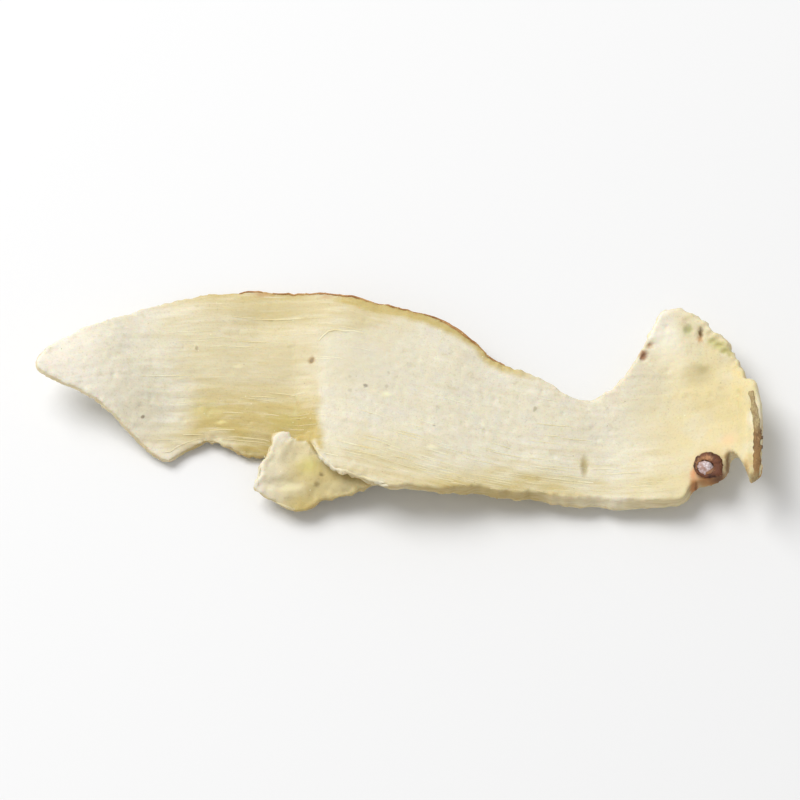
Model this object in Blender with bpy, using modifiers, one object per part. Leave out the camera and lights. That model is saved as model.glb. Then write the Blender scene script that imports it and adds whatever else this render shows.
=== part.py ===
"""A dried lengthwise slice of Solomon's seal root, lying on a table.

The rhizome is cut along its grain into a thin sheet, which warps as it dries.
The sheet has a bluntly pointed tip on the left, a bulge where a joint of the
root was cut, a narrow neck, and a broad head on the right with a root scar and
a downward prong. A torn tongue of flesh peels away under the near edge.

X runs along the slice from tip to head, Y away from the viewer, Z up. The
origin is at the middle of its footprint, on the table.
"""

import math

import bmesh
import bpy
from mathutils import Vector, kdtree, noise
from mathutils.geometry import delaunay_2d_cdt

MM = 0.001

# Driving dimensions
FLESH_THICKNESS = 1.5 * MM
RIM_THICKNESS = 0.8 * MM
RIM_TAPER = 2.4 * MM
TONGUE_THICKNESS = 1.1 * MM
SCAR_FOOT_RADIUS = 1.27 * MM
SCAR_MOUTH_RADIUS = 1.36 * MM
SCAR_LENGTH = 1.3 * MM
SCAR_WALL = 0.42 * MM
SCAR_DISH = 0.5 * MM
SCAR_STANDS_PROUD = 0.45 * MM
SCAR_LEAN = (math.radians(-7.0), math.radians(-5.0))
SCAR_SQUASH = 0.86
SCAR_UNEVENNESS = 0.16
SHARP_ANGLE = math.radians(50.0)
GRAIN_SPACING = 0.95 * MM
RIM_SPACING = 0.55 * MM
RIM_INSET = 0.5 * MM
GRAIN_UNEVENNESS = 0.22 * MM

# The cut outline, clockwise as seen from above, in millimetres. Each stretch has
# its points and how far its edge is frayed.
FAR_EDGE = (
    ((-32.3, 2.5), (-31.4, 4.0), (-28.7, 5.9), (-25.0, 8.0), (-20.5, 10.2), (-15.5, 11.3),
     (-10.0, 11.3), (-5.2, 10.3), (-0.3, 8.9), (3.8, 7.5), (6.6, 5.7), (8.4, 3.9)),
    0.10,
)
NECK = (
    ((11.2, 2.8), (13.5, 1.9), (14.8, 0.7), (16.5, 0.4), (18.2, 1.1), (19.5, 2.2), (20.8, 3.6)),
    0.20,
)
HEAD = (
    ((21.7, 5.0), (22.1, 6.3), (22.8, 7.5), (23.8, 8.3), (25.2, 8.2), (27.1, 7.2), (28.6, 5.6),
     (29.8, 4.0), (30.4, 2.3)),
    0.22,
)
PRONG = (
    ((30.6, 1.4), (31.4, 1.0), (32.0, -0.3), (32.3, -2.6), (32.2, -4.9), (32.0, -7.2), (31.6, -8.7),
     (31.1, -8.7), (30.7, -7.7), (30.2, -6.3)),
    0.06,
)
SCAR_BAY = (
    ((29.6, -5.5), (29.1, -5.7), (28.9, -6.8), (28.4, -7.7), (27.4, -8.1), (26.3, -8.1),
     (25.6, -8.7), (25.2, -9.5)),
    0.05,
)
NEAR_EDGE = (
    ((24.4, -10.0), (22.4, -10.0), (19.5, -9.8), (16.2, -9.6), (12.9, -9.4), (9.6, -9.3),
     (6.3, -9.2), (3.0, -9.3), (0.4, -9.0), (-2.0, -8.3), (-4.0, -7.5), (-5.6, -7.1),
     (-6.8, -6.2)),
    0.20,
)
TEAR = (
    ((-7.3, -5.3), (-7.7, -4.6), (-8.2, -4.0), (-8.9, -4.5), (-9.7, -4.8)),
    0.02,
)
LOWER_BITE = (
    ((-11.9, -4.6), (-14.0, -4.4), (-15.2, -3.9), (-16.3, -3.4), (-17.5, -3.5), (-18.8, -4.2),
     (-20.1, -4.9)),
    0.14,
)
KNIFE_CUT = (
    ((-20.7, -5.1), (-21.8, -4.6), (-23.4, -3.2), (-25.4, -1.5), (-27.7, 0.1), (-30.0, 1.0),
     (-31.5, 1.6)),
    0.07,
)
SLICE_OUTLINE = (
    FAR_EDGE, NECK, HEAD, PRONG, SCAR_BAY, NEAR_EDGE, TEAR, LOWER_BITE, KNIFE_CUT,
)

# The torn tongue's outline: a ragged left end, and a root hidden under the slice.
TONGUE_END = (
    ((-11.5, -9.2), (-12.7, -8.6), (-12.6, -7.3), (-12.4, -6.2), (-11.8, -5.7), (-11.4, -4.4),
     (-11.3, -3.3), (-10.5, -3.1), (-9.9, -3.9), (-8.9, -3.4)),
    0.10,
)
TONGUE_ROOT = (
    ((-7.4, -3.5), (-5.8, -4.2), (-4.0, -5.0), (-2.2, -6.0), (-1.2, -7.0), (-1.6, -7.9),
     (-3.0, -8.6), (-5.0, -9.0), (-6.7, -9.3), (-7.7, -9.9), (-8.9, -10.3), (-10.1, -10.0)),
    0.06,
)
TONGUE_OUTLINE = (TONGUE_END, TONGUE_ROOT)

# How the sheet lies, at stations along its length, all in millimetres: the middle
# of the sheet across, its half width, its height there, and how much higher its
# edges stand than its middle.
STATIONS = (
    # x, middle, half width, height, edges
    (-32.5, 2.4, 1.5, 5.2, 0.0),
    (-27.0, 3.6, 5.5, 3.7, -0.4),
    (-21.0, 2.8, 7.6, 2.3, -1.1),
    (-15.0, 3.6, 7.6, 2.0, -1.2),
    (-9.0, 3.4, 8.0, 2.0, -0.9),
    (-3.0, 1.2, 9.0, 2.2, -0.2),
    (3.0, -0.9, 8.6, 2.2, 0.3),
    (9.0, -3.0, 6.6, 1.8, 0.5),
    (15.0, -4.6, 5.3, 1.3, 0.7),
    (20.0, -4.0, 6.4, 1.2, 0.9),
    (25.0, -1.2, 9.0, 1.5, 1.0),
    (30.0, -1.5, 6.5, 2.7, 0.9),
    (32.5, -3.0, 5.0, 3.4, 0.6),
)
MIDDLE, HALF_WIDTH, HEIGHT, EDGES = 1, 2, 3, 4

# The kink at the old joint of the root, where the sheet tore from its near edge
KINK_X = -8.1
KINK_RISE = 1.3
KINK_FADE = 15.0
TEAR_END_Y = -3.9

# The rims that curled up as they dried: how high they rise and how wide they are
TORN_LIP_RISE = 1.0
NEAR_LIP_RISE = 0.45
NEAR_LIP_WIDTH = 1.4
RIGHT_LIP_RISE = 1.8
RIGHT_LIP_WIDTH = 1.5
HEAD_RISE = 1.6

# How far the flesh's uneven shrinking moves it: in broad waves and in fine ones
BROAD_WARP = 0.38
FINE_WARP = 0.14

# The three low places that the slice rests on, round its weight
REST_SPOTS = ((-12.6, 8.4), (-19.9, -2.6), (18.6, -4.6))
REST_HEIGHT = 0.60
REST_REACH = 3.6

# The scar where a rootlet was, at the head's near edge
SCAR_PLACE = (27.2, -6.6)


def ease(t):
    """0 to 1 with level ends."""
    t = min(max(t, 0.0), 1.0)
    return t * t * (3.0 - 2.0 * t)


def along(x, column):
    """One column of STATIONS at x, on a smooth curve through the stations."""
    last = len(STATIONS) - 1
    x = min(max(x, STATIONS[0][0]), STATIONS[last][0])
    right = next(i for i in range(1, last + 1) if x <= STATIONS[i][0])
    left = right - 1
    span = STATIONS[right][0] - STATIONS[left][0]

    def slope(i):
        before, after = STATIONS[max(i - 1, 0)], STATIONS[min(i + 1, last)]
        return (after[column] - before[column]) / (after[0] - before[0]) * span

    t = (x - STATIONS[left][0]) / span
    start, end = STATIONS[left][column], STATIONS[right][column]
    return (
        (2 * t**3 - 3 * t**2 + 1) * start
        + (t**3 - 2 * t**2 + t) * slope(left)
        + (3 * t**2 - 2 * t**3) * end
        + (t**3 - t**2) * slope(right)
    )


def kink(x, y):
    """The step up at the old joint: sharp at the tear and softer towards the far edge."""
    softness = 0.9 + 0.55 * max(y - TEAR_END_Y, 0.0)
    step = ease((x - KINK_X) / softness + 0.5)
    fade = 1.0 - ease((x - KINK_X - 3.0) / KINK_FADE)
    return KINK_RISE * step * fade * (1.0 - 0.35 * ease(y / 10.0))


def curled_rims(x, y):
    """The near edge curls up beside the tear, and so do the head's right and far edges."""
    near_edge = along(x, MIDDLE) - along(x, HALF_WIDTH)
    near_lip = TORN_LIP_RISE + (NEAR_LIP_RISE - TORN_LIP_RISE) * ease((x - 1.0) / 9.0)
    near_lip *= math.exp(-(((y - near_edge) / NEAR_LIP_WIDTH) ** 2))
    near_lip *= ease((x - KINK_X + 0.5) / 1.2) * (1.0 - ease((x - 22.0) / 3.5))
    right_edge = 32.1 - 0.035 * (y + 3.0) ** 2
    right_lip = RIGHT_LIP_RISE * math.exp(-(((right_edge - x) / RIGHT_LIP_WIDTH) ** 2))
    right_lip *= ease((3.0 - y) / 2.5)
    head = HEAD_RISE * ease((y - 2.0) / 8.0) * ease((x - 19.0) / 4.0)
    return near_lip + right_lip + head


def warp(x, y):
    """The uneven shrinking of the dried flesh."""
    broad = noise.noise(Vector((x / 8.0, y / 5.5, 3.1)))
    fine = noise.noise(Vector((x / 3.6, y / 2.2, 7.7)))
    return BROAD_WARP * broad + FINE_WARP * fine


def rim_share(x, y):
    """How much of its body the flesh keeps at the near edge, which was cut straight down."""
    across = (y - along(x, MIDDLE)) / along(x, HALF_WIDTH)
    return 0.75 * ease((x - 1.0) / 6.0) * ease(-2.0 * across)


def slice_height(x, y):
    """Height of the middle of the slice's flesh above the table, all in millimetres."""
    across = (y - along(x, MIDDLE)) / along(x, HALF_WIDTH)
    z = along(x, HEIGHT) + along(x, EDGES) * min(across * across, 1.4)
    z += kink(x, y) + curled_rims(x, y) + warp(x, y)
    for spot_x, spot_y in REST_SPOTS:
        pull = math.exp(-((x - spot_x) ** 2 + (y - spot_y) ** 2) / REST_REACH**2)
        z += (REST_HEIGHT - z) * pull
    return z


def tongue_height(x, y):
    """The torn tongue rises from under the slice and curls up at its ragged end."""
    curl = 0.9 * ease((-9.0 - x) / 4.0) * ease((y + 9.0) / 6.0)
    root = 0.7 * ease((x + 6.0) / 4.0)
    sag = -0.9 * ease((-7.0 - y) / 3.5)
    return 2.35 + curl + root + sag + 0.12 * noise.noise(Vector((x / 2.5, y / 2.5, 1.3)))


def smooth_loop(stretches):
    """The stretches as one closed curve: even points, and how far each is frayed."""
    points = [Vector(p) for stretch, fray in stretches for p in stretch]
    frays = [fray for stretch, fray in stretches for p in stretch]
    count = len(points)
    fine = []
    for i, start in enumerate(points):
        before, end, after = points[i - 1], points[(i + 1) % count], points[(i + 2) % count]
        chord = (end - start).length
        into = (end - before).normalized() * chord
        out = (after - start).normalized() * chord
        steps = max(2, math.ceil(chord / 0.05))
        for step in range(steps):
            t = step / steps
            point = (
                (2 * t**3 - 3 * t**2 + 1) * start
                + (t**3 - 2 * t**2 + t) * into
                + (3 * t**2 - 2 * t**3) * end
                + (t**3 - t**2) * out
            )
            fine.append((point, frays[i]))
    lengths = [(fine[i][0] - fine[i - 1][0]).length for i in range(len(fine))]
    spacing = sum(lengths) / round(sum(lengths) * MM / RIM_SPACING)
    loop, walked = [fine[0]], 0.0
    for i in range(1, len(fine)):
        walked += lengths[i]
        if walked >= spacing:
            walked -= spacing
            loop.append(fine[i])
    if (loop[-1][0] - loop[0][0]).length < 0.6 * spacing:
        loop.pop()
    return loop


def frayed(loop):
    """The loop's points moved in and out by a steady noise, as torn fibres are."""
    moved = []
    for i, (point, fray) in enumerate(loop):
        run = loop[(i + 1) % len(loop)][0] - loop[i - 1][0]
        out = Vector((-run.y, run.x)).normalized()
        nibble = noise.noise(Vector((point.x / 1.1, point.y / 1.1, 5.5)))
        tuft = noise.noise(Vector((point.x / 0.45, point.y / 0.45, 9.1)))
        moved.append(point + out * fray * (1.6 * nibble + 0.9 * tuft))
    return moved


def flesh_points(rim):
    """Points inside the rim: one row just within it, then a slightly uneven lattice."""
    count = len(rim)
    nearest = kdtree.KDTree(count)
    for i, point in enumerate(rim):
        nearest.insert(point.to_3d(), i)
    nearest.balance()

    def inside(point):
        crossings = 0
        for i in range(count):
            a, b = rim[i - 1], rim[i]
            if (a.y > point.y) != (b.y > point.y):
                crossings += point.x < a.x + (point.y - a.y) / (b.y - a.y) * (b.x - a.x)
        return crossings % 2 == 1

    inset, found = RIM_INSET / MM, []
    for i in range(count):
        run = rim[(i + 1) % count] - rim[i - 1]
        point = rim[i] + Vector((run.y, -run.x)).normalized() * inset
        clear = nearest.find(point.to_3d())[2] > 0.8 * inset
        if clear and inside(point):
            found.append(point)
    spacing, uneven = GRAIN_SPACING / MM, GRAIN_UNEVENNESS / MM
    row_step = spacing * math.sqrt(0.75)
    low_x, high_x = min(p.x for p in rim), max(p.x for p in rim)
    low_y, high_y = min(p.y for p in rim), max(p.y for p in rim)
    for row in range(math.ceil((high_y - low_y) / row_step)):
        y = low_y + row * row_step
        for column in range(math.ceil((high_x - low_x) / spacing)):
            x = low_x + (column + 0.5 * (row % 2)) * spacing
            nudge_x = uneven * noise.noise(Vector((x * 3.7, y * 3.7, 2.2)))
            nudge_y = uneven * noise.noise(Vector((x * 3.7, y * 3.7, 8.2)))
            point = Vector((x + nudge_x, y + nudge_y))
            clear = nearest.find(point.to_3d())[2] > inset + 0.55 * spacing
            if clear and inside(point):
                found.append(point)
    return found


def sheet(name, stretches, height, thickness, rim_thickness):
    """A warped sheet of flesh with the given outline, thinner towards its edge."""
    rim = frayed(smooth_loop(stretches))
    points = rim + flesh_points(rim)
    hem = [(i, (i + 1) % len(rim)) for i in range(len(rim))]
    flat, _, faces, *_ = delaunay_2d_cdt(points, hem, [], 1, 1e-6)
    nearest = kdtree.KDTree(len(rim))
    for i, point in enumerate(rim):
        nearest.insert(point.to_3d(), i)
    nearest.balance()

    bm = bmesh.new()
    verts = [bm.verts.new((p.x * MM, p.y * MM, height(p.x, p.y) * MM)) for p in flat]
    for face in faces:
        bm.faces.new([verts[i] for i in face])
    bmesh.ops.recalc_face_normals(bm, faces=bm.faces)
    bm.normal_update()
    if sum(face.normal.z for face in bm.faces) < 0:
        bmesh.ops.reverse_faces(bm, faces=bm.faces)
    mesh = bpy.data.meshes.new(name)
    bm.to_mesh(mesh)
    bm.free()

    obj = bpy.data.objects.new(name, mesh)
    bpy.context.scene.collection.objects.link(obj)
    plump = obj.vertex_groups.new(name="plump")
    for i, point in enumerate(flat):
        depth = nearest.find(point.to_3d())[2] * MM / RIM_TAPER
        plump.add([i], max(ease(depth), rim_share(point.x, point.y)), "REPLACE")
    flesh = obj.modifiers.new("flesh", "SOLIDIFY")
    flesh.thickness = thickness
    flesh.offset = 0.0
    flesh.vertex_group = plump.name
    flesh.thickness_vertex_group = rim_thickness / thickness
    return obj


def rootlet_scar(name):
    """The low, dished stub of a rootlet, sunk well into the flesh."""
    x, y = SCAR_PLACE
    bm = bmesh.new()
    bmesh.ops.create_cone(
        bm,
        cap_ends=True,
        segments=22,
        radius1=SCAR_FOOT_RADIUS,
        radius2=SCAR_MOUTH_RADIUS,
        depth=SCAR_LENGTH,
    )
    mouth = [f for f in bm.faces if f.normal.z > 0.9]
    bmesh.ops.inset_region(bm, faces=mouth, thickness=SCAR_WALL, depth=0.0)
    floor = [f for f in bm.faces if f.normal.z > 0.9 and len(f.verts) > 4]
    bmesh.ops.inset_region(bm, faces=floor, thickness=SCAR_WALL * 0.7, depth=-SCAR_DISH)
    for vert in bm.verts:
        wobble = noise.noise(Vector((vert.co.x / MM, vert.co.y / MM, 4.4)))
        vert.co.x *= 1.0 + SCAR_UNEVENNESS * wobble
        vert.co.y *= SCAR_SQUASH + SCAR_UNEVENNESS * wobble
    mesh = bpy.data.meshes.new(name)
    bm.to_mesh(mesh)
    bm.free()
    obj = bpy.data.objects.new(name, mesh)
    bpy.context.scene.collection.objects.link(obj)
    obj.location = (x * MM, y * MM, slice_height(x, y) * MM + SCAR_STANDS_PROUD)
    obj.rotation_euler = (*SCAR_LEAN, 0.0)
    return obj


def table_block():
    """The table, which flattens the slice's three low places."""
    bpy.ops.mesh.primitive_cube_add(size=1.0)
    block = bpy.context.object
    block.name = "table"
    block.scale = (200 * MM, 200 * MM, 20 * MM)
    block.location = (0.0, 0.0, -10 * MM)
    block.hide_render = True
    block.display_type = "WIRE"
    return block


def add_boolean(obj, name, operation, operand):
    """A Boolean modifier on obj, with an object or a collection as its operand."""
    modifier = obj.modifiers.new(name, "BOOLEAN")
    modifier.operation = operation
    if isinstance(operand, bpy.types.Collection):
        modifier.operand_type = "COLLECTION"
        modifier.collection = operand
    else:
        modifier.object = operand
    modifier.solver = "EXACT"


def applied(obj, name):
    """obj with its modifiers applied, as a new object with the same name as its mesh."""
    bpy.context.view_layer.update()
    graph = bpy.context.evaluated_depsgraph_get()
    mesh = bpy.data.meshes.new_from_object(obj.evaluated_get(graph))
    mesh.name = name
    bpy.data.objects.remove(obj)
    return bpy.data.objects.new(name, mesh)


def flesh_material():
    """Dried root flesh: warm ivory, dull."""
    material = bpy.data.materials.new("dried_root_flesh")
    material.use_nodes = True
    shader = material.node_tree.nodes["Principled BSDF"]
    shader.inputs["Base Color"].default_value = (0.78, 0.69, 0.46, 1.0)
    shader.inputs["Roughness"].default_value = 0.62
    shader.inputs["Metallic"].default_value = 0.0
    return material


def build():
    for obj in list(bpy.data.objects):
        bpy.data.objects.remove(obj)
    part = bpy.data.collections.new("solomons_seal_root_slice")
    fused = bpy.data.collections.new("fused_pieces")
    bpy.context.scene.collection.children.link(part)
    bpy.context.scene.collection.children.link(fused)

    slab = sheet("slab", SLICE_OUTLINE, slice_height, FLESH_THICKNESS, RIM_THICKNESS)
    tongue = sheet("tongue", TONGUE_OUTLINE, tongue_height, TONGUE_THICKNESS, RIM_THICKNESS)
    scar = rootlet_scar("scar")
    for piece in (tongue, scar):
        bpy.context.scene.collection.objects.unlink(piece)
        fused.objects.link(piece)
    table = table_block()
    add_boolean(slab, "grown_together", "UNION", fused)
    add_boolean(slab, "rests_flat", "DIFFERENCE", table)
    root_slice = applied(slab, "root_slice")
    for helper in (tongue, scar, table):
        bpy.data.objects.remove(helper)

    low = Vector(min(v.co[i] for v in root_slice.data.vertices) for i in range(3))
    high = Vector(max(v.co[i] for v in root_slice.data.vertices) for i in range(3))
    centre = (low + high) / 2
    for vert in root_slice.data.vertices:
        vert.co.x -= centre.x
        vert.co.y -= centre.y
    root_slice.data.materials.clear()
    root_slice.data.materials.append(flesh_material())
    root_slice.data.shade_smooth()
    root_slice.data.set_sharp_from_angle(angle=SHARP_ANGLE)
    part.objects.link(root_slice)


build()
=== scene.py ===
import math
import random

import bmesh
import bpy
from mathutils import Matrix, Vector, kdtree, noise
from mathutils.bvhtree import BVHTree


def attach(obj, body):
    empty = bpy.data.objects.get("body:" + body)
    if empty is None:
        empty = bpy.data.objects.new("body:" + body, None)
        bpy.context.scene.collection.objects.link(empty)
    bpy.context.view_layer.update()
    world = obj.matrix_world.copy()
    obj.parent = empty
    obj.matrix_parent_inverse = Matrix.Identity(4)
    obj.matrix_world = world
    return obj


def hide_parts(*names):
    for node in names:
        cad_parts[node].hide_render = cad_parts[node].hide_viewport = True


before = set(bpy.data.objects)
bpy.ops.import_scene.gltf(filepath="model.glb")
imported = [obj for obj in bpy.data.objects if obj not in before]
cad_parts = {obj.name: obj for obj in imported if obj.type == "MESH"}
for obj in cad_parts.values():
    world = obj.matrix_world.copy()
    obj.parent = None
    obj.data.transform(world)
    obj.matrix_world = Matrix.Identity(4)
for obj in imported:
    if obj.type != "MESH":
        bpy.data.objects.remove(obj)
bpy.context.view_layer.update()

MM = 0.001

# The flesh. The real slice is one thin sheet of starchy root, cut along its grain with
# a knife and then dried, which warped it, curled its rims and tore a tongue of flesh
# from under its near edge. It grew as one piece, so it is one mesh.
FACE_SIZE = 0.19 * MM

# The rim is where the solid bends more sharply than this, clear of the scar and the table
RIM_ANGLE = math.radians(48.0)
RIM_REACH = 1.5 * MM
RIM_FOOT = 0.1 * MM
SCAR_PIXEL = (347.0, 454.0)
SCAR_REACH = 1.75 * MM

# How the photograph sees the slice: from the front, this far above the table
SIGHT_ELEVATION = math.radians(65.0)
PIXEL = 0.165 * MM
MIDDLE_PIXEL = (182.0, 420.0)
MIDDLE_POINT = Vector((0.0, -0.55, 2.0)) * MM
SIGHT = Vector((0.0, math.cos(SIGHT_ELEVATION), -math.sin(SIGHT_ELEVATION)))
SIGHT_UP = Vector((0.0, math.sin(SIGHT_ELEVATION), math.cos(SIGHT_ELEVATION)))

# Where the grain runs, in millimetres: along the slice its fibres lie between two lines,
# one by the far edge and one by the near edge, given at stations from tip to head
GRAIN_STEP = 9.3
GRAIN_START = -32.5
FAR_GRAIN = (4.5, 9.6, 11.0, 10.4, 7.8, 5.4, 6.2, 7.5)
NEAR_GRAIN = (-3.5, -4.6, -4.8, -6.8, -9.4, -10.4, -10.6, -10.8)
GRAIN_WIDTH = 8.0
FAR_SIDE_OF_GRAIN = 5.0

# Pixels of the photograph that lie round the torn tongue, and along the torn lip above it.
# The tongue's upper tooth lies over the left half, and the rest of it under the lip.
TONGUE = (
    (113, 433), (121, 434), (122, 439.5), (132, 440), (137, 447), (142, 453), (149, 458),
    (158, 459.5), (172, 464), (166, 468.5), (150, 471), (140, 473), (130, 479), (120, 477),
    (104, 467), (104, 458), (106, 450), (111, 448),
)
LIP = (
    (134.5, 442), (138.5, 448), (147, 456.5), (153, 457.3), (159, 460), (167.5, 462.7),
    (175, 464), (183, 468), (192, 469.5), (202, 470),
)
UNDER_LIP_COLUMNS = (133.0, 173.0)
TOOTH_ROW = 446.0
UNDERSIDE_ROW = 448.0
UNDERSIDE_DROP = 2.0

# The joint of two years' growth, a line down the slice: its column, how far it leans to the
# right at its top and in which rows, and the rows in which it turns from soft to sharp
JOINT_COLUMN = 139.0
JOINT_LEAN = 36.0
JOINT_LEAN_ROWS = (386.0, 375.0)
JOINT_SOFT_ROWS = (412.0, 392.0)

# The amber beside the joint starts at one column where it is high on the slice and at
# another where it is low, in pixels from where it starts to where it is whole
AMBER_ROWS = (398.0, 430.0)
AMBER_LOW_ROWS = (402.0, 410.0)
AMBER_COLUMNS_HIGH = (40.0, 84.0)
AMBER_COLUMNS_LOW = (60.0, 80.0)

# Stretches of the slice that fade in and out: pairs of pixel columns and pairs of pixel
# rows, each from where the stretch starts to where it is whole
ZONES = {
    "over_the_spot": (((118, 132),), ((425, 415),)),
    "left_rim": (((145, 125), (40, 60)), ()),
    # far_rim and far_rim_narrows set the amber band along the far rim, which is partly amber flesh
    # and partly painted shade of the rim's curved-down far side
    "far_rim": (((140, 158), (262, 240)), ((412, 404),)),
    "far_rim_narrows": (((205, 217),), ()),
    "tongue_root": (((112, 129),), ()),
    "tongue_low": ((), ((446, 458),)),
    "tongue_foot": (((112, 122),), ((468, 476),)),
    "tongue_torn_end": (((110.5, 107),), ()),
    "tooth": ((), ((442, 438),)),
    "tooth_right_side": (((113.5, 119.5), (129, 121)), ((442, 438),)),
    "past_the_tip": (((24, 74),), ()),
    "near_fibres": (((340, 310),), ((438, 448),)),
    "left_of_the_head": (((345, 295),), ()),
    "chalky_tip": (((34, 8),), ()),
    "chalky_corner": (((336, 322), (312, 317)), ((396, 382),)),
    "chalky_outer_rim": (((373.5, 375.5),), ((440, 432),)),
    "chalky_bite": (((100, 90),), ((428, 436),)),
    "skin_far_edge": (((96, 110), (246, 232)), ()),
    "skin_head_edge": (((336, 346),), ((430, 410),)),
    "skin_bay": (((334, 338), (366, 362)), ((445, 449),)),
    "skin_left_cut": (((100, 80),), ((400, 410),)),
    "skin_outer_wall": (((369, 373),), ((425, 437),)),
    "blush_of_the_head": (((296, 346),), ()),
    "blush_of_the_rim": (((355, 367),), ()),
    "lip": (((133, 138), (206, 190)), ()),
    "lip_overhang": (((143, 153), (192, 168)), ((447, 455),)),
    "prong": (((362, 370),), ((404, 414),)),
    "prong_end": (((362, 370),), ((447, 456),)),
}

# Colours of the flesh, as sRGB
WHITE_FLESH = (231, 224, 200)
AMBER_FLESH = (204, 184, 119)
BLUSH_FLESH = (229, 213, 160)
CHALKY_FLESH = (243, 237, 222)
BARE_SIDE = (192, 170, 114)
PALE_SIDE = (234, 222, 184)
PALE_FIBRE = (248, 243, 222)
DARK_PORE = (150, 134, 100)
SKIN_LINE = (176, 136, 78)
COOL_FLESH = (226, 220, 205)
PALE_SPECK = (249, 244, 212)

# Where the flesh is more amber, or less, than beside it: pixel of the photograph, half
# width and height in pixels, how much
TINTS = {
    "far_rim_of_the_left_half": ((122, 368), (32, 12), 0.28),
    "above_the_joint": ((168, 376), (22, 12), 0.34),
    "past_the_joint": ((150, 402), (10, 14), 0.12),
    "above_the_bite": ((68, 439), (30, 8), 0.34),
    "tip": ((30, 398), (26, 14), -0.25),
    "near_band_left": ((168, 450), (32, 15), 0.40),
    "near_band": ((225, 467), (52, 12), 0.78),
    "near_band_middle": ((285, 467), (40, 10), 0.14),
    "near_band_right": ((330, 467), (26, 12), 0.34),
    "head_middle": ((351, 414), (15, 17), 0.48),
    "head_by_the_bark": ((364, 430), (10, 18), 0.46),
    "head_corner": ((327, 385), (15, 14), -0.60),
    "head": ((338, 425), (22, 20), 0.18),
    "left_of_the_head": ((318, 430), (18, 18), 0.14),
    "above_the_tongue": ((108, 438), (12, 7), -0.26),
    "by_the_scar": ((328, 448), (12, 12), 0.18),
}

# How ragged the marks' edges are and how far a mark reaches in depth, in millimetres
MARK_WOBBLE = 0.42
MARK_DEPTH = 1 / 1.1
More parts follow.
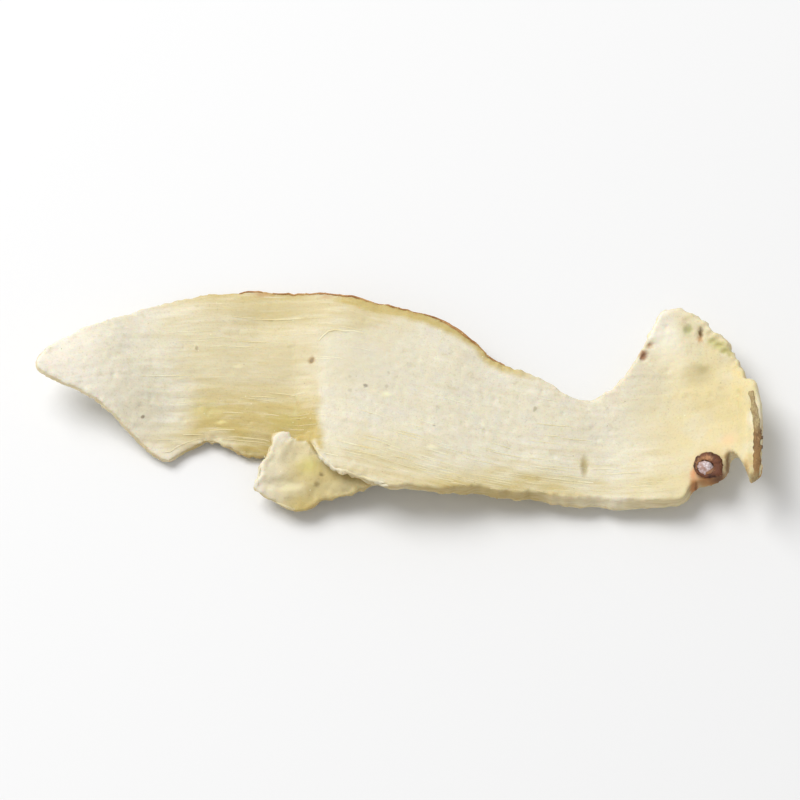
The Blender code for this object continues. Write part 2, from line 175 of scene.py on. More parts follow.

# Marks on the cut face, and patches of painted shade and painted light: pixel of the
# photograph, half width and height in pixels, how soft its edge is, colour, strength
MARKS = {
    "brown_spot": ((134.3, 397), (1.7, 2.3), 0.7, (172, 132, 82), 0.85),
    "brown_spot_core": ((134.6, 397), (0.8, 1.2), 0.6, (110, 78, 44), 0.85),
    "dot_by_the_tip": ((44, 427), (0.9, 0.9), 0.5, (120, 104, 78), 0.65),
    "dot_left": ((72, 390), (0.9, 0.9), 0.5, (140, 122, 92), 0.65),
    "dot_middle": ((163.3, 410.5), (1.1, 1.0), 0.5, (122, 112, 100), 0.85),
    "dot_above_middle": ((155, 405.5), (0.9, 0.8), 0.6, (160, 148, 122), 0.4),
    "dot_below_middle": ((155, 413), (1.0, 0.8), 0.6, (160, 148, 122), 0.4),
    "dot_right_of_middle": ((175, 410.5), (1.0, 0.8), 0.6, (166, 154, 128), 0.4),
    "dot_high": ((176, 403.5), (0.8, 0.7), 0.6, (168, 156, 130), 0.4),
    "dot_low": ((200, 431.5), (0.9, 0.7), 0.6, (160, 150, 124), 0.6),
    "dot_neck": ((254.5, 423), (0.8, 1.3), 0.6, (168, 158, 132), 0.6),
    "dot_near_edge": ((214, 460), (1.2, 0.9), 0.6, (176, 166, 140), 0.6),
    "lens_mark": ((281, 454), (1.8, 5.2), 0.7, (178, 162, 112), 0.8),
    "fleck_by_the_middle": ((174.5, 415), (2.2, 1.3), 0.9, (248, 243, 204), 0.8),
    "fleck_right": ((199, 443), (2.4, 1.0), 0.9, (247, 242, 206), 0.7),
    "fleck_left": ((95, 400), (2.2, 0.9), 0.9, (246, 238, 198), 0.7),
    "fleck_low": ((86, 430), (2.6, 0.7), 0.9, (240, 228, 160), 0.7),
    "rust_on_the_far_rim": ((107, 361), (4.5, 1.3), 1.0, (190, 140, 84), 0.55),
    "rust_right": ((141.5, 362.5), (3.0, 1.0), 1.0, (196, 148, 96), 0.45),
    "head_stain": ((343, 405.5), (7.5, 4.5), 1.0, (186, 170, 122), 0.50),
    "head_stain_top": ((345, 402), (3.0, 1.8), 1.0, (168, 156, 108), 0.45),
    "red_pit": ((313, 394.5), (2.2, 2.0), 0.7, (158, 96, 52), 0.8),
    "red_pit_tail": ((316.5, 389.5), (2.4, 1.4), 0.9, (186, 140, 88), 0.6),
    "green_tooth": ((337.2, 380.8), (2.1, 2.2), 0.8, (176, 176, 112), 0.85),
    "brown_tooth": ((343.9, 382.6), (1.0, 2.2), 0.7, (118, 86, 44), 0.9),
    "brown_tooth_foot": ((343.3, 385.6), (1.3, 1.4), 0.9, (196, 144, 84), 0.75),
    "green_tooth_left": ((350.2, 387.0), (2.4, 1.3), 1.0, (198, 194, 120), 0.70),
    "green_tooth_middle": ((353.6, 389.2), (2.8, 1.4), 1.0, (194, 190, 112), 0.75),
    "green_tooth_right": ((356.8, 391.6), (2.6, 1.3), 1.0, (188, 182, 104), 0.75),
    "green_tooth_last": ((359.4, 393.4), (1.5, 1.2), 1.0, (174, 166, 92), 0.70),
    # Painted shade: grey-tan patches that darken the flesh where its surface curves away from the
    # light
    "painted_shade_over_the_spot": ((122, 396), (27, 13), 1.0, (202, 188, 146), 0.48),
    "painted_shade_on_the_left": ((79, 399), (16, 12), 1.0, (204, 194, 154), 0.30),
    "painted_shade_past_the_joint": ((162, 393), (21, 18), 1.0, (212, 204, 178), 0.62),
    # Painted light: near-white patches that brighten the head's corner and the flesh left of the
    # scar, where the surface turns away from the light
    "painted_light_head_corner": ((326, 386), (8, 8), 0.9, (253, 248, 226), 0.75),
    "painted_light_left_of_the_scar": ((329, 396), (7, 7), 1.0, (250, 240, 208), 0.6),
    # Painted shade: a grey-tan patch that darkens the far rim where it curves down
    "painted_shade_on_the_far_rim": ((121, 370), (17, 6), 1.0, (196, 182, 138), 0.50),
    "green_above_the_tongue": ((121, 430), (8, 5), 1.0, (202, 189, 110), 0.40),
    "green_by_the_bite": ((77, 424), (8, 4), 1.0, (210, 196, 120), 0.40),
    "tongue_green": ((133.5, 453), (5.0, 4.2), 1.0, (204, 195, 110), 0.65),
    "tongue_light": ((125, 465), (5.5, 3.0), 1.0, (236, 228, 190), 0.6),
    # Paler flesh on the tongue under the lip, with painted light that lifts the lip's shadow there
    "tongue_pale_and_painted_light": ((151, 465.5), (8.5, 3.2), 1.0, (220, 210, 170), 0.4),
    "tongue_spot": ((140, 458), (1.2, 0.9), 0.7, (146, 124, 74), 0.75),
    "tongue_spot_low": ((137.5, 463), (1.2, 1.0), 0.8, (160, 140, 90), 0.65),
    "scar_tail": ((339.4, 464.5), (2.2, 4.6), 0.6, (190, 124, 70), 0.9),
    "scar_tail_dark": ((340.4, 465.5), (0.8, 3.4), 0.5, (126, 78, 42), 0.8),
    "scar_stain": ((346.0, 453), (10.0, 8.5), 0.8, (206, 170, 118), 0.50),
    "scar_bed": ((346.8, 454.2), (7.2, 6.6), 0.3, (120, 84, 66), 0.95),
    # Orange-brown skin of the rootlet's stub below the ring, darkened with painted shade; the dark
    # patch at the ring's lower right is painted shade only
    "skin_and_painted_shade_under_the_scar": ((348.5, 461.5), (8.5, 4.2), 0.6, (176, 122, 70), 0.92),
    "painted_shade_under_the_scar": ((353.0, 461.0), (4.5, 2.6), 0.8, (104, 66, 38), 0.85),
    "left_of_the_scar": ((339.0, 457.5), (1.6, 2.6), 0.8, (222, 156, 106), 0.75),
    "bay_stain": ((357.5, 453), (1.5, 6.0), 0.7, (126, 88, 50), 0.85),
    "bay_blush": ((358.5, 439.5), (4.5, 3.0), 1.0, (240, 206, 158), 0.6),
    # Painted highlight: a whitish patch standing for light caught in the hollow beside the bark
    # strip
    "painted_highlight_by_the_bark": ((370.0, 427.5), (1.9, 3.6), 1.0, (246, 240, 216), 0.7),
    "prong_side": ((367.5, 451.5), (2.6, 4.5), 1.0, (208, 178, 126), 0.55),
    "prong_tip": ((370.0, 460.0), (2.8, 3.2), 0.7, (160, 140, 94), 0.8),
    "bay_edge": ((366.4, 455.0), (1.5, 3.8), 0.9, (160, 126, 76), 0.75),
}


def ease(t):
    """0 to 1 with level ends."""
    t = min(max(t, 0.0), 1.0)
    return t * t * (3.0 - 2.0 * t)


def fade(value, start, whole):
    """0 before the start and 1 once whole, eased between the two."""
    return ease((value - start) / (whole - start))


def zone(name, px, py):
    """How much a pixel lies in a zone, 0 to 1."""
    columns, rows = ZONES[name]
    much = 1.0
    for start, whole in columns:
        much *= fade(px, start, whole)
    for start, whole in rows:
        much *= fade(py, start, whole)
    return much


def linear(colour):
    """An sRGB colour of 0 to 255 as the linear colour that a shader takes."""
    parts = [c / 255.0 for c in colour]
    parts = [c / 12.92 if c <= 0.04045 else ((c + 0.055) / 1.055) ** 2.4 for c in parts]
    return (*parts, 1.0)


def merged_copy(node):
    """The CAD node's mesh with its loose triangles joined."""
    bm = bmesh.new()
    bm.from_mesh(node.data)
    bmesh.ops.remove_doubles(bm, verts=bm.verts, dist=1e-6)
    bm.normal_update()
    return bm


def new_piece(name, bm=None, data=None):
    """A named object in the scene from a bmesh or from other data."""
    if bm is not None:
        data = bpy.data.meshes.new(name)
        bm.to_mesh(data)
        bm.free()
        data.shade_smooth()
    piece = bpy.data.objects.new(name, data)
    bpy.context.scene.collection.objects.link(piece)
    return piece


def settled(piece):
    """The piece with its modifiers, or its curve, made into a plain mesh."""
    bpy.context.view_layer.update()
    graph = bpy.context.evaluated_depsgraph_get()
    mesh = bpy.data.meshes.new_from_object(piece.evaluated_get(graph))
    mesh.name = name = piece.name
    bpy.data.objects.remove(piece)
    mesh.shade_smooth()
    return new_piece(name, data=mesh)


def pixel_of(point):
    """The pixel of the photograph that shows a point."""
    offset = point - MIDDLE_POINT
    return MIDDLE_PIXEL[0] + offset.x / PIXEL, MIDDLE_PIXEL[1] - offset.dot(SIGHT_UP) / PIXEL


def seen_on(surface, px, py):
    """The point and the normal of a surface that a pixel of the photograph shows."""
    aim = MIDDLE_POINT + Vector(((px - MIDDLE_PIXEL[0]) * PIXEL, 0.0, 0.0))
    aim += SIGHT_UP * (MIDDLE_PIXEL[1] - py) * PIXEL
    point, normal, _, _ = surface.ray_cast(aim - SIGHT * 0.1, SIGHT)
    if point is None:
        point, normal, _, _ = surface.find_nearest(aim)
    return point, normal


def station(line, x):
    """A line's height at x, on a smooth curve through its stations."""
    place = min(max((x - GRAIN_START) / GRAIN_STEP, 0.0), len(line) - 1.001)
    i = int(place)
    t = place - i
    before, start, end, after = (line[min(max(k, 0), len(line) - 1)] for k in range(i - 1, i + 3))
    bend = 2 * before - 5 * start + 4 * end - after
    twist = 3 * (start - end) + after - before
    return start + 0.5 * t * (end - before + t * (bend + t * twist))


def grain_at(x, y):
    """How far along and across the grain a place of the slice lies, in millimetres."""
    x, y = x / MM, y / MM
    far, near = station(FAR_GRAIN, x), station(NEAR_GRAIN, x)
    return x, (2.0 * y - far - near) / (far - near) * GRAIN_WIDTH


def ridge(u, v, seed):
    """A noise with thin raised crests, 0 to 1."""
    return (1.0 - abs(noise.noise(Vector((u, v, seed))))) ** 4


def inside(px, py, outline):
    """Whether a pixel lies inside an outline of pixels."""
    odd = False
    for (x0, y0), (x1, y1) in zip(outline, outline[1:] + outline[:1]):
        if (y0 > py) != (y1 > py) and px < x0 + (py - y0) / (y1 - y0) * (x1 - x0):
            odd = not odd
    return odd


def off_line(px, py, line):
    """How far a pixel lies from a line of pixels, with its side of it: over it is positive."""
    nearest = (1e9, 0.0)
    for (x0, y0), (x1, y1) in zip(line, line[1:]):
        t = ((px - x0) * (x1 - x0) + (py - y0) * (y1 - y0)) / ((x1 - x0) ** 2 + (y1 - y0) ** 2)
        t = min(max(t, 0.0), 1.0)
        off = math.dist((px, py), (x0 + t * (x1 - x0), y0 + t * (y1 - y0)))
        over = (px - x0) * (y1 - y0) - (py - y0) * (x1 - x0)
        nearest = min(nearest, (off, math.copysign(off, over)))
    return nearest[1]


cad = merged_copy(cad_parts["root_slice"])
solid = BVHTree.FromBMesh(cad)
scar_place, _ = seen_on(solid, *SCAR_PIXEL)
rim_points = []
for edge in cad.edges:
    sharp = edge.calc_face_angle(0.0) > RIM_ANGLE
    away = (edge.verts[0].co - scar_place).length > SCAR_REACH
    if sharp and away and edge.verts[0].co.z > RIM_FOOT:
        rim_points += [vert.co.copy() for vert in edge.verts]
rim_tree = kdtree.KDTree(len(rim_points))
for index, rim_point in enumerate(rim_points):
    rim_tree.insert(rim_point, index)
rim_tree.balance()

flesh = new_piece("sliced_flesh", cad)
even = flesh.modifiers.new("even_faces", "REMESH")
even.mode = "VOXEL"
even.voxel_size = FACE_SIZE
flesh = settled(flesh)

# How far the dried surface stands out of the cut plane, in its ridges and its pits
BROAD_RIDGE = 0.075 * MM
FIBRE_RIDGE = 0.05 * MM
CRUMB = 0.035 * MM
SIDE_LAYER = 0.09 * MM
RIM_FRAY = 0.08 * MM
TORN_FRAY = 0.20 * MM
TONGUE_LUMP = 0.16 * MM
PIT_COUNT = 150
PIT_DEPTH = 0.10 * MM
PIT_SIZES = (0.14, 0.40)
PIT_FIELD = ((-30, 31), (-9, 10))

# The cut's side: how level its faces' normals are, and how far from the rim it reaches,
# each from where the side starts to where it is whole
SIDE_TILT = (0.70, 0.35)
SIDE_REACH = (1.3 * MM, 0.8 * MM)

# The torn lip, in pixels where it has no unit: its bright roll, how far it hangs over the
# tongue, and the heights that part it from the tongue and the tongue's tooth from the rest
LIP_RISE = 0.20 * MM
LIP_WIDTH = 3.2
LIP_BACK = 3.0
LIP_OVERHANG = 0.58 * MM
TONGUE_TOP = 3.35 * MM
TOOTH_LEVEL = 2.5 * MM

# How far the tooth's right side and the prong are moved to lie as the photograph has them
TOOTH_SPREAD = Vector((0.46, 0.14, 0.0)) * MM
PRONG_SHIFT = Vector((-0.30, -0.10, 0.0)) * MM
PRONG_STRETCH = Vector((0.10, -0.38, -0.05)) * MM

# Where the rim is torn: pixel of the photograph, how far round it, in pixels
TORN_PLACES = (
    ((150, 457), 26),
    ((110, 455), 20),
    ((118, 436), 10),
    ((233, 397), 9),
    ((246, 399), 6),
    ((318, 388), 12),
    ((345, 380), 14),
    ((360, 392), 10),
    ((92, 446), 22),
    ((373, 461), 8),
)

# Slots and hollows in the cut face: pixel of the photograph, half width and height in
# pixels, depth
HOLLOWS = {
    "brown_slot": ((343.9, 382.3), (1.2, 3.0), 0.32 * MM),
    "green_slot": ((337.2, 380.3), (1.8, 2.4), 0.18 * MM),
    "left_slot": ((350.0, 386.6), (1.7, 1.1), 0.16 * MM),
    "middle_slot": ((353.2, 388.8), (2.2, 1.2), 0.18 * MM),
    "right_slot": ((357.8, 392.0), (2.6, 1.3), 0.20 * MM),
    "red_pit": ((313, 395), (2.2, 2.2), 0.35 * MM),
    "pit_above": ((316.5, 389), (2.0, 1.4), 0.25 * MM),
    "brown_spot": ((134.4, 397), (1.3, 1.8), 0.12 * MM),
    "lens": ((281, 454), (1.6, 4.6), 0.14 * MM),
    "bay_crack": ((358.5, 450), (0.9, 4.0), 0.25 * MM),
    "tongue_spot": ((140, 458), (1.1, 0.9), 0.14 * MM),
    "tongue_dimple": ((124, 448), (5.0, 4.0), 0.20 * MM),
    "tongue_fold": ((118, 463), (9.0, 2.6), 0.22 * MM),
    "head_dent": ((343, 405), (7.0, 5.0), 0.14 * MM),
    "bark_groove": ((371.5, 436), (1.6, 16.0), 0.22 * MM),
}
pit_luck = random.Random(11)
pit_tree = kdtree.KDTree(PIT_COUNT)
for index in range(PIT_COUNT):
    place = Vector((pit_luck.uniform(*PIT_FIELD[0]), pit_luck.uniform(*PIT_FIELD[1]), 0.0)) * MM
    pit_tree.insert(place, index)
pit_tree.balance()
pit_sizes = [pit_luck.uniform(*PIT_SIZES) * MM for _ in range(PIT_COUNT)]


def hollow_at(px, py):
    """How deep the cut face is hollowed at a pixel."""
    deep = 0.0
    for (x, y), (wide, high), depth in HOLLOWS.values():
        off = math.hypot((px - x) / wide, (py - y) / high)
        deep = max(deep, depth * ease(1.5 - off))
    return deep


def torn_at(px, py):
    """How torn the rim is near a pixel, 0 to 1."""
    reach = max(1.0 - math.dist((px, py), place) / size for place, size in TORN_PLACES)
    return ease(reach * 2.0)


def past_joint(px, py):
    """0 on the left half, 1 on the white half, with the old joint's wavering line between."""
    wander = 3.0 * noise.noise(Vector((py / 7.0, px / 40.0, 2.0)))
    wander += 1.6 * noise.noise(Vector((py / 2.5, px / 20.0, 6.0)))
    joint = JOINT_COLUMN + JOINT_LEAN * fade(py, *JOINT_LEAN_ROWS) + wander
    softness = 5.5 + 5.0 * fade(py, *JOINT_SOFT_ROWS)
    return ease((px - joint) / softness + 0.5)


def amber_at(px, py, rim):
    """How amber and glassy the flesh is: most beside the old joint, low on the left half."""
    depth = 0.36 + 0.56 * fade(py, *AMBER_ROWS)
    depth *= 1.0 - 0.25 * zone("over_the_spot", px, py)
    low = fade(py, *AMBER_LOW_ROWS)
    pairs = zip(AMBER_COLUMNS_HIGH, AMBER_COLUMNS_LOW)
    columns = [high + (deep - high) * low for high, deep in pairs]
    amber = (1.0 - past_joint(px, py)) * fade(px, *columns) * depth
    amber += 0.28 * rim * zone("left_rim", px, py)
    for (x, y), (wide, high), much in TINTS.values():
        off = math.hypot((px - x) / wide, (py - y) / high)
        wobble = 0.25 * noise.noise(Vector((px / 12.0, py / 6.0, x)))
        amber += much * ease(1.15 - 0.75 * off + wobble)
    # Along the far rim the amber band is partly painted shade, standing for the shade on the rim's
    # curved-down far side
    narrow = 0.45 + 0.4 * zone("far_rim_narrows", px, py)
    return amber + 0.95 * zone("far_rim", px, py) * ease(rim * 2.3 - narrow)


def tongue_amber(px, py):
    """The torn tongue is white at its ragged end and amber where it leaves the slice."""
    root = (0.30 + 0.30 * zone("tongue_low", px, py)) * zone("tongue_root", px, py)
    return 0.24 + root + 0.16 * zone("tongue_foot", px, py)


def fibrous_at(px, py):
    """How plainly the grain shows: most on the left half and along the near edge."""
    left = 0.28 + 0.62 * zone("past_the_tip", px, py)
    white = 0.08 + 0.30 * zone("left_of_the_head", px, py)
    right = max(white, zone("near_fibres", px, py))
    return left + (right - left) * past_joint(px, py)


def chalky_at(px, py, rim, lip):
    """Where the flesh has dried to a bright white: the tip, the torn lip, the head's corner."""
    return max(
        0.80 * zone("chalky_tip", px, py),
        1.00 * zone("chalky_corner", px, py),
        0.40 * zone("chalky_outer_rim", px, py),
        0.50 * zone("chalky_bite", px, py) * rim,
        0.85 * lip,
    )


def skin_at(px, py, v, rim, side):
    """Where a thread of the root's brown skin is left on the slice's rim."""
    broken = 0.5 + 0.9 * noise.noise(Vector((px / 9.0, py / 9.0, 12.0)))
    broken += 0.5 * noise.noise(Vector((px / 2.2, py / 2.2, 17.0)))
    place = max(
        1.00 * zone("skin_far_edge", px, py) * ease(v - FAR_SIDE_OF_GRAIN),
        0.75 * zone("skin_head_edge", px, py) * ease(side),
        0.80 * zone("skin_bay", px, py),
        0.35 * zone("skin_left_cut", px, py) * ease(side),
    )
    outer_wall = zone("skin_outer_wall", px, py) * ease(side * 1.6)
    return max(place * ease(rim * 2.6 - 1.75), outer_wall) * ease(broken)


bm = bmesh.new()
bm.from_mesh(flesh.data)
for _ in range(2):
    bmesh.ops.smooth_vert(
        bm, verts=bm.verts, factor=0.5, use_axis_x=True, use_axis_y=True, use_axis_z=True
    )
bm.normal_update()
LAYERS = ("amber", "blush", "chalky", "fibrous", "side", "skin")
layers = {name: bm.verts.layers.float.new(name) for name in LAYERS}
grain_map = bm.loops.layers.uv.new("grain")
moved = []
for vert in bm.verts:
    px, py = pixel_of(vert.co)
    u, v = grain_at(vert.co.x, vert.co.y)
    away = rim_tree.find(vert.co)[2]
    rim = 1.0 - min(away / RIM_REACH, 1.0)
    side = fade(abs(vert.normal.z), *SIDE_TILT) * fade(away, *SIDE_REACH)
    upper = vert.normal.z > 0.0
    low = py > TOOTH_ROW
    in_columns = UNDER_LIP_COLUMNS[0] < px < UNDER_LIP_COLUMNS[1]
    under_lip = in_columns and low and vert.co.z < TONGUE_TOP
    over_half = low or vert.co.z > TOOTH_LEVEL
    tongue = upper and (under_lip or over_half and inside(px, py, TONGUE))
    torn = torn_at(px, py)
    over_lip = off_line(px, py, LIP)
    ragged = 1.2 * noise.noise(Vector((px / 3.0, py / 3.0, 21.0)))
    lip = 0.0
    if upper and not tongue and over_lip > -LIP_BACK:
        lip = zone("lip", px, py) * ease(1.0 - (abs(over_lip - 1.0) + ragged) / LIP_WIDTH)

    vert[layers["side"]] = side
    underside = not upper and py > UNDERSIDE_ROW and inside(px, py - UNDERSIDE_DROP, TONGUE)
    vert[layers["amber"]] = tongue_amber(px, py) if tongue or underside else amber_at(px, py, rim)
    head, head_rim = zone("blush_of_the_head", px, py), zone("blush_of_the_rim", px, py)
    vert[layers["blush"]] = head + 0.35 * head_rim
    torn_end = 0.7 * (zone("tongue_torn_end", px, py) + zone("tooth", px, py))
    vert[layers["chalky"]] = torn_end if tongue else chalky_at(px, py, rim, lip)
    vert[layers["fibrous"]] = 0.12 if tongue else fibrous_at(px, py)
    vert[layers["skin"]] = skin_at(px, py, v, rim, side)

    plain = vert[layers["fibrous"]]
    crest = BROAD_RIDGE * (0.2 + plain) * (ridge(u / 13.0, v * 0.8, 3.0) - 0.45)
    crest += FIBRE_RIDGE * (0.4 + plain) * (ridge(u / 5.0, v * 2.4, 9.0) - 0.45)
    crest += CRUMB * noise.noise(vert.co / (0.9 * MM))
    crest += (1.4 - plain) * CRUMB * noise.noise(vert.co / (0.45 * MM))
    layer = SIDE_LAYER * noise.noise(Vector((u / 2.5, vert.co.z / (0.22 * MM), 4.0)))
    fray = (RIM_FRAY + TORN_FRAY * torn) * noise.noise(vert.co / (0.55 * MM))
    fray += 0.5 * RIM_FRAY * noise.noise(vert.co / (0.27 * MM))
    _, index, far = pit_tree.find(Vector((vert.co.x, vert.co.y, 0.0)))
    pitted = PIT_DEPTH * (1.0 - ease(far / pit_sizes[index])) * (1.0 - side)
    overhang = LIP_OVERHANG * zone("lip_overhang", px, py)
    overhang *= fade(vert.co.z, TONGUE_TOP, TONGUE_TOP + 0.5 * MM)
    shift = Vector((0.0, -overhang, -0.2 * overhang))
    shift += PRONG_SHIFT * zone("prong", px, py) + PRONG_STRETCH * zone("prong_end", px, py)
    if vert.co.z > TOOTH_LEVEL:
        shift += TOOTH_SPREAD * zone("tooth_right_side", px, py)
    lift = crest * (1.0 - side) + layer * side + fray * ease(rim * 2.2 - 1.0) - pitted
    lift += LIP_RISE * lip * (1.0 + 0.5 * ragged)
    if upper:
        lift -= hollow_at(px, py) * (1.0 - side)
    if tongue:
        lift += TONGUE_LUMP * noise.noise(vert.co / (1.3 * MM))
        lift += 0.5 * TONGUE_LUMP * noise.noise(vert.co / (0.6 * MM))
    moved.append(vert.co + vert.normal * lift + shift)
for vert, place in zip(bm.verts, moved):
    resting = vert.co.z < 0.02 * MM
    vert.co = place
    vert.co.z = 0.0 if resting else max(place.z, 0.01 * MM)
for face in bm.faces:
    for loop in face.loops:
        loop[grain_map].uv = grain_at(loop.vert.co.x, loop.vert.co.y)
bpy.data.objects.remove(flesh)
face_of_flesh = BVHTree.FromBMesh(bm)
flesh = new_piece("sliced_flesh", bm)


def new_material(name):
    """A material with its node tree and its shader."""
    material = bpy.data.materials.new(name)
    material.use_nodes = True
    return material, material.node_tree, material.node_tree.nodes["Principled BSDF"]


def add_node(tree, kind, sockets=None, **settings):
    """A shader node with its settings, and with its sockets set or linked."""
    made = tree.nodes.new(kind)
    for name, value in settings.items():
        setattr(made, name, value)
    for name, value in (sockets or {}).items():
        if isinstance(value, bpy.types.NodeSocket):
            tree.links.new(value, made.inputs[name])
        else:
            made.inputs[name].default_value = value
    return made


def calculate(tree, operation, a, b=0.0):
    """The result of a Math node, kept between 0 and 1 where it adds or multiplies."""
    made = add_node(tree, "ShaderNodeMath", {0: a, 1: b}, operation=operation)
    made.use_clamp = operation in ("ADD", "MULTIPLY", "SUBTRACT")
    return made.outputs[0]


def between(tree, value, low, high, least=0.0, most=1.0):
    """The value eased from its low to its high."""
    sockets = {"Value": value, "From Min": low, "From Max": high, "To Min": least, "To Max": most}
    made = add_node(tree, "ShaderNodeMapRange", sockets, interpolation_type="SMOOTHSTEP")
    return made.outputs["Result"]


def blended(tree, factor, below, above, blend_type="MIX"):
    """Two colours mixed by a factor."""
    sockets = {0: factor, 6: below, 7: above}
    made = add_node(tree, "ShaderNodeMix", sockets, data_type="RGBA", blend_type=blend_type)
    return made.outputs[2]


def moved_vector(tree, operation, *sockets):
    """The result of a Vector Math node."""
    return add_node(tree, "ShaderNodeVectorMath", dict(enumerate(sockets)), operation=operation)


def patterned(tree, vector, scale, detail=3.0, roughness=0.55):
    """A noise over a vector that is stretched by its scale."""
    stretched = moved_vector(tree, "MULTIPLY", vector, scale).outputs[0]
    sockets = {"Vector": stretched, "Scale": 1.0, "Detail": detail, "Roughness": roughness}
    return add_node(tree, "ShaderNodeTexNoise", sockets).outputs["Fac"]


def coat(tree, shader, colour, height, strength, distance):
    """Give the shader its colour, and a bump from a height."""
    sockets = {"Strength": strength, "Distance": distance, "Height": height}
    bump = add_node(tree, "ShaderNodeBump", sockets)
    tree.links.new(colour, shader.inputs["Base Color"])
    tree.links.new(bump.outputs[0], shader.inputs["Normal"])


def attribute(tree, name):
    """A number that the mesh carries at its points."""
    return add_node(tree, "ShaderNodeAttribute", attribute_name=name).outputs["Fac"]


def in_millimetres(tree):
    """Object coordinates in millimetres."""
    place = add_node(tree, "ShaderNodeTexCoord").outputs["Object"]
    sockets = {"Vector": place, "Scale": (1.0 / MM, 1.0 / MM, 1.0 / MM)}
    return add_node(tree, "ShaderNodeMapping", sockets).outputs[0]


def speckled(tree, place, scale, size, rarest, colour, speck_colour, strength):
    """The colour with small specks of another scattered over it, and where they are."""
    cells = add_node(tree, "ShaderNodeTexVoronoi", {"Vector": place, "Scale": scale})
    luck = add_node(tree, "ShaderNodeSeparateColor", {0: cells.outputs["Color"]}).outputs["Red"]
    near = between(tree, cells.outputs["Distance"], size, size * 0.4)
    speck = calculate(tree, "MULTIPLY", near, between(tree, luck, rarest, 0.98, 0.0, strength))
    return blended(tree, speck, colour, linear(speck_colour)), speck


def marked(tree, place, colour):
    """The flesh's colour with the marks of its cut face and its painted shade and light over it."""
    wobble = add_node(tree, "ShaderNodeTexNoise", {"Vector": place, "Scale": 2.2, "Detail": 3.0})
    shift = moved_vector(tree, "SUBTRACT", wobble.outputs["Color"], (0.5, 0.5, 0.5))
    shaken = moved_vector(tree, "MULTIPLY_ADD", shift.outputs[0], (MARK_WOBBLE,) * 3, place)
    for pixel, (wide, high), soft, shade, strength in MARKS.values():
        centre = seen_on(face_of_flesh, *pixel)[0] / MM
        size = Vector((wide, high / math.sin(SIGHT_ELEVATION), 0.0)) * PIXEL / MM
        offset = moved_vector(tree, "SUBTRACT", shaken.outputs[0], centre)
        scale = (1 / size.x, 1 / size.y, 1 / MARK_DEPTH)
        scaled = moved_vector(tree, "MULTIPLY", offset.outputs[0], scale)
        length = moved_vector(tree, "LENGTH", scaled.outputs[0]).outputs["Value"]
        mask = between(tree, length, 1.0 + soft, max(1.0 - soft, 0.0), 0.0, strength)
        colour = blended(tree, mask, colour, linear(shade))
    return colour


